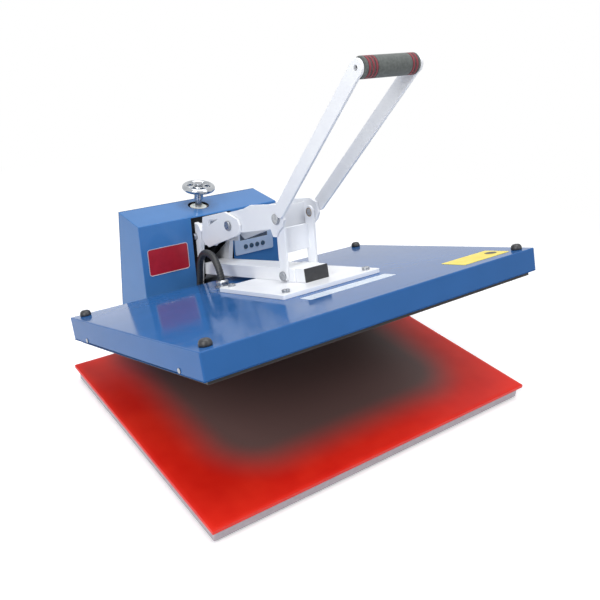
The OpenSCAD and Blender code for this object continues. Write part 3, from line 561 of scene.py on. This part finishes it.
# The badge is a cast plate with red enamel and a raised pale rim, left blank.
red_badge_enamel = material("red_badge_enamel", ("#a31a2a", "#b22031"), (0.3, 0.34),
    patch_mm=20, wear_mm=30, grain_mm=9, relief_mm=0.01, strength=0.3,
    IOR=1.5, Specular_IOR_Level=0.4)

# Pale cast rim of the badge: brushed and lacquered.
brushed_rim = material("brushed_rim", ("#d9c9cc", "#e6dadb"), (0.28, 0.4),
    patch_mm=5, wear_mm=3, grain_mm=1.5, relief_mm=0.02, strength=0.3,
    IOR=1.5, Metallic=0.4)

rim_width = 1.5 * MM
enamel_depth = 0.3 * MM
badge = worked("name_badge", red_badge_enamel, 0.2)
badge.data.materials.append(brushed_rim)
badge_mesh = bmesh.new()
badge_mesh.from_mesh(badge.data)
enamel = max((f for f in badge_mesh.faces if f.normal.y < -0.5), key=lambda f: f.calc_area())
for face in badge_mesh.faces:
    face.material_index = 0 if face == enamel else 1
rim = bmesh.ops.inset_region(badge_mesh, faces=[enamel], thickness=rim_width, depth=-enamel_depth)
for face in rim["faces"]:
    face.material_index = 1
badge_mesh.to_mesh(badge.data)
badge_mesh.free()

# ---- Control panel ----
# A polycarbonate film on a steel plate fills a cut-out in the sloping front. It has a
# dark display window and four round buttons, with the board and the relay behind it.

# Printed polycarbonate film: satin blue grey, embossed very lightly.
printed_film = material("printed_film", ("#a9c0dc", "#bacbe2"), (0.36, 0.46),
    patch_mm=25, wear_mm=10, grain_mm=1.6, relief_mm=0.02, strength=0.4,
    IOR=1.58)

# Smoked acrylic: a dark grey window with a clear hard gloss.
smoked_acrylic = material("smoked_acrylic", ("#4b5057", "#565c64"), (0.1, 0.16),
    patch_mm=12, wear_mm=10, grain_mm=6, relief_mm=0.01, strength=0.2,
    IOR=1.49, Coat_Weight=0.4, Coat_Roughness=0.03)

# Moulded ABS: black, with the fine spark grain of its mould.
moulded_abs = material("moulded_abs", ("#18191c", "#26272b"), (0.36, 0.5),
    patch_mm=10, wear_mm=4, grain_mm=1.2, relief_mm=0.06, strength=0.5,
    IOR=1.54)

# Solder mask: green lacquer over copper tracks.
solder_mask = material("solder_mask", ("#1c5a32", "#2f7a46"), (0.3, 0.42),
    patch_mm=4, wear_mm=5, grain_mm=2, relief_mm=0.05, strength=0.4,
    IOR=1.5)

worked("control_panel", printed_film, 0.3)
worked("display_window", smoked_acrylic, 0.2)

# Moulded buttons: slate blue ABS with the same spark grain.
slate_abs = material("slate_abs", ("#233f57", "#2d4c66"), (0.36, 0.48),
    patch_mm=6, wear_mm=4, grain_mm=1.2, relief_mm=0.04, strength=0.4,
    IOR=1.54)

for number in range(1, 5):
    worked(f"button_{number}", slate_abs, 0.9, segments=3)
worked("controller_board", solder_mask, 0.2)
worked("power_relay", moulded_abs, 0.8)

# ---- Mains inlet and switch ----
# An appliance inlet and a rocker switch clip into the steel back of the box. Both are
# moulded in black nylon, and the rocker is red.

# Moulded red polycarbonate: deep red under a clear gloss.
red_rocker_plastic = material("red_rocker_plastic", ("#a80f12", "#bd1a1c"), (0.22, 0.32),
    patch_mm=8, wear_mm=5, grain_mm=2, relief_mm=0.02, strength=0.4,
    IOR=1.58, Coat_Weight=0.3, Coat_Roughness=0.1)

worked("mains_inlet", moulded_abs, 0.6)
worked("switch_housing", moulded_abs, 0.6)
worked("power_switch", red_rocker_plastic, 0.6, segments=3)

# ---- Upper platen ----
# The heater is a cast aluminium plate with a tubular element in its back and a non-stick
# coat on its face. A fibre blanket and a folded steel cover go over it, and four studs
# with black knobs clamp the stack at its corners.

# Coated casting: charcoal, smooth and slightly satin.
non_stick_coat = material("non_stick_coat", ("#242122", "#322e2e"), (0.34, 0.46),
    patch_mm=40, wear_mm=15, grain_mm=2.5, relief_mm=0.05, strength=0.4,
    IOR=1.4, Metallic=0.2)

# Ceramic fibre felt: off-white and loose.
ceramic_felt = material("ceramic_felt", ("#cfc9b8", "#e2ddd0"), (0.85, 0.95),
    patch_mm=6, wear_mm=5, grain_mm=2, detail=6, relief_mm=0.4, strength=0.7,
    IOR=1.45, Sheen_Weight=0.3)

# Heat-tinted steel tube: straw to violet.
heat_tinted_steel = material("heat_tinted_steel", ("#7a5c3c", "#5a4a5e"), (0.34, 0.48),
    patch_mm=30, wear_mm=6, grain_mm=2, relief_mm=0.04, strength=0.4,
    Metallic=1.0)

# Vinyl label stock: warm yellow, satin.
yellow_vinyl = material("yellow_vinyl", ("#e8cf2e", "#f0dc48"), (0.3, 0.4),
    patch_mm=30, wear_mm=12, grain_mm=3, relief_mm=0.02, strength=0.4,
    IOR=1.5)

blue_powder_coat = powder_coat("blue_powder_coat", "#2e619e", "#2c5e99",
    roughness=0.11, gloss=0.13, peel_mm=0.035)

worked("platen_cover", blue_powder_coat, 2.2, segments=4)
worked("heater_plate", non_stick_coat, 1.2)
worked("insulation_blanket", ceramic_felt, 2.0)
worked("heating_element", heat_tinted_steel, 0.4)
worked("thermostat", zinc_plated_steel, 0.5)
worked("corner_studs", zinc_plated_steel, 0.3)
worked("corner_knobs", moulded_abs, 0.8, segments=3)
worked("cover_screws", zinc_plated_steel, 0.5)
worked("label_plate", yellow_vinyl, 0.1)

# Printed paper under film: pale grey, with a soft gloss.
filmed_paper = material("filmed_paper", ("#c9d6e6", "#d8e2ee"), (0.26, 0.36),
    patch_mm=16, wear_mm=9, grain_mm=2.5, relief_mm=0.02, strength=0.3,
    IOR=1.5)

# Black screen ink: flat and slightly raised.
screen_ink = material("screen_ink", ("#1d1c1a", "#2a2926"), (0.4, 0.52),
    patch_mm=5, wear_mm=4, grain_mm=2, relief_mm=0.02, strength=0.3,
    IOR=1.5)

# The middle of the cover's top, and how far the cover tilts while the press is open.
cover_middle = Vector((0, -66.277, 219.101)) * MM
cover_tilt = math.radians(-21)


def sticker(name, outline, middle_mm, lift_mm, thick_mm, surface):
    """A flat sticker on the cover's top, from its outline and its place there."""
    mesh = bmesh.new()
    face = mesh.faces.new([mesh.verts.new((x, y, 0)) for x, y in outline])
    made = bmesh.ops.extrude_face_region(mesh, geom=[face])["geom"]
    for v in [g for g in made if isinstance(g, bmesh.types.BMVert)]:
        v.co.z += thick_mm * MM
    bmesh.ops.recalc_face_normals(mesh, faces=mesh.faces)
    tilt = Matrix.Rotation(cover_tilt, 3, "X")
    for v in mesh.verts:
        v.co = cover_middle + tilt @ (v.co + Vector((*middle_mm, lift_mm)) * MM)
    data = bpy.data.meshes.new(name)
    mesh.to_mesh(data)
    mesh.free()
    return finish(place(bpy.data.objects.new(name, data)), surface)


def rounded_outline(width_mm, depth_mm, corner_mm):
    """The outline of a rectangle with round corners, about its middle."""
    steps = 6
    points = []
    for turn, (sx, sy) in enumerate(((1, 1), (-1, 1), (-1, -1), (1, -1))):
        for step in range(steps + 1):
            angle = math.radians(90 * turn + 90 / steps * step)
            points.append(((sx * (width_mm / 2 - corner_mm) + corner_mm * math.cos(angle)) * MM,
                (sy * (depth_mm / 2 - corner_mm) + corner_mm * math.sin(angle)) * MM))
    return points


# A blank data strip lies in front of the mounting plate, and a plain round mark is
# printed on the yellow label.
strip = sticker("data_strip", rounded_outline(width_mm=188, depth_mm=30, corner_mm=2),
    middle_mm=(4, -133), lift_mm=0.02, thick_mm=0.3, surface=filmed_paper)
mark = sticker("label_mark", rounded_outline(width_mm=22, depth_mm=22, corner_mm=10.9),
    middle_mm=(290, -196), lift_mm=0.62, thick_mm=0.1, surface=screen_ink)
for piece in (strip, mark):
    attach(piece, body_of("platen_cover"))

# ---- Mounting plate and lifting beam ----
# A thick steel plate is screwed down through the cover, and the lifting beam is welded
# along it. The beam runs back between the uprights to a barrel on the hinge pin.

# Bearing bronze: warm, dull, oily.
bearing_bronze = material("bearing_bronze", ("#a9824a", "#8a6a3c"), (0.3, 0.42),
    patch_mm=6, wear_mm=4, grain_mm=1.5, relief_mm=0.03, strength=0.4,
    Metallic=1.0)

worked("mounting_plate", white_powder_coat, 0.9)
worked("plate_screws", zinc_plated_steel, 0.6)
worked("lifting_beam", white_powder_coat, 1.8, segments=3)
worked("beam_plug", moulded_abs, 0.8)
worked("pivot_cheeks", white_powder_coat, 0.8)
worked("hinge_bush", bearing_bronze, 0.3)
worked("strut_pin", zinc_plated_steel, 0.9, segments=3)

# ---- Strut ----
# A two-legged steel link stands on the beam's pivot and carries the handle. Its legs are
# profile cut from plate and welded to a web behind.

worked("strut", white_powder_coat, 0.8)
worked("strut_bushes", bearing_bronze, 0.3)

# ---- Handle ----
# Two cheeks reach back to the pressure rocker, and two flat bars, splayed apart, reach
# up to the grip. Shouldered pins join them, with domed heads outside.

worked("handle_cheeks", white_powder_coat, 0.8)
worked("handle_pins", zinc_plated_steel, 1.2, segments=3)
worked("handle_arms", white_powder_coat, 0.9)
worked("grip_tube", zinc_plated_steel, 0.5)

# ---- Grip ----
# A sleeve of closed-cell foam is pushed over the tube. It is ground to a slight barrel
# and has coloured rings let into grooves near its ends, three at one end and two at the other.

# Closed-cell foam: dark grey, matt, with fine torn pores.
closed_cell_foam = material("closed_cell_foam", ("#474b4a", "#5d6260"), (0.78, 0.92),
    patch_mm=4, wear_mm=4, grain_mm=1.4, detail=5, relief_mm=0.25, strength=0.6,
    IOR=1.45, Sheen_Weight=0.2)

# Dyed foam of the rings: the same sponge in dark red.
dyed_foam = material("dyed_foam", ("#702a33", "#85333d"), (0.78, 0.92),
    patch_mm=4, wear_mm=4, grain_mm=1.4, detail=5, relief_mm=0.25, strength=0.6,
    IOR=1.45, Sheen_Weight=0.2)

foam_low, foam_high = (Vector(corner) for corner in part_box("grip_foam"))
foam_middle = (foam_low + foam_high) / 2
foam_length = foam_high.x - foam_low.x
foam_radius = (foam_high.y - foam_low.y) / 2
foam_bore = 11.05 * MM
end_rounding = 3 * MM
ring_width = 4.2 * MM
ring_step = 6.6 * MM
first_ring = 8 * MM
groove_depth = 0.9 * MM
groove_under_ring = 0.4 * MM
groove_beside_ring = 0.8 * MM
ring_places = [foam_low.x + first_ring + i * ring_step for i in range(3)]
ring_places += [foam_high.x - first_ring - i * ring_step for i in range(2)]


def foam_radius_at(x):
    """The outer radius of the foam at a place along it."""
    radius = foam_radius
    short = end_rounding - min(x - foam_low.x, foam_high.x - x)
    if short > 0:
        radius -= end_rounding - math.sqrt(max(0.0, end_rounding ** 2 - short ** 2))
    nearest = min(abs(x - ring) for ring in ring_places)
    if ring_width / 2 - groove_under_ring < nearest < ring_width / 2 + groove_beside_ring:
        radius -= groove_depth
    return radius


def lathed(name, stations, sides, middle):
    """A ring-shaped solid turned about a line along X. Each station is a place and a radius."""
    mesh = bmesh.new()
    rings = [[mesh.verts.new((x, middle.y + r * math.cos(math.tau * k / sides),
        middle.z + r * math.sin(math.tau * k / sides))) for k in range(sides)] for x, r in stations]
    for a, b in zip(rings, rings[1:] + rings[:1]):
        for k in range(sides):
            mesh.faces.new((a[k], a[(k + 1) % sides], b[(k + 1) % sides], b[k]))
    bmesh.ops.recalc_face_normals(mesh, faces=mesh.faces)
    data = bpy.data.meshes.new(name)
    mesh.to_mesh(data)
    mesh.free()
    return place(bpy.data.objects.new(name, data))


foam_steps = 270
outside = [foam_low.x + foam_length * i / foam_steps for i in range(foam_steps + 1)]
stations = [(x, foam_radius_at(x)) for x in outside]
stations += [(foam_high.x, foam_bore), (foam_low.x, foam_bore)]
foam_sides = 56
foam = finish(lathed("foam_sleeve", stations, foam_sides, foam_middle), closed_cell_foam,
    smooth_under=50)
foam.data.materials.append(dyed_foam)
for face in foam.data.polygons:
    if min(abs(face.center.x - ring) for ring in ring_places) < ring_width / 2:
        face.material_index = 1
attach(foam, "handle")
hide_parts("grip_foam")

# ---- Pressure rocker ----
# Two plates hang on a pin across the uprights. Their nose holds the handle's rear pivot,
# and the trunnion nut on the pressure screw lifts or lowers their tail.

worked("rocker_plates", white_powder_coat, 0.8)
worked("rocker_studs", zinc_plated_steel, 1.2, segments=3)
worked("trunnion_nut", zinc_plated_steel, 0.8)

# ---- Handwheel ----
# A small handwheel with five spokes, cast and chromed, is pinned to the top of the pressure
# screw, above the box. The zinc-plated screw runs down through the trunnion nut.

# Bright chrome over a cast and polished core.
polished_chrome = material("polished_chrome", ("#a9adb2", "#bcc0c4"), (0.05, 0.11),
    patch_mm=12, wear_mm=8, grain_mm=10, relief_mm=0.05, strength=0.2,
    Metallic=1.0)

worked("handwheel", polished_chrome, 1.0, segments=3)
worked("pressure_screw", zinc_plated_steel, 0.5)
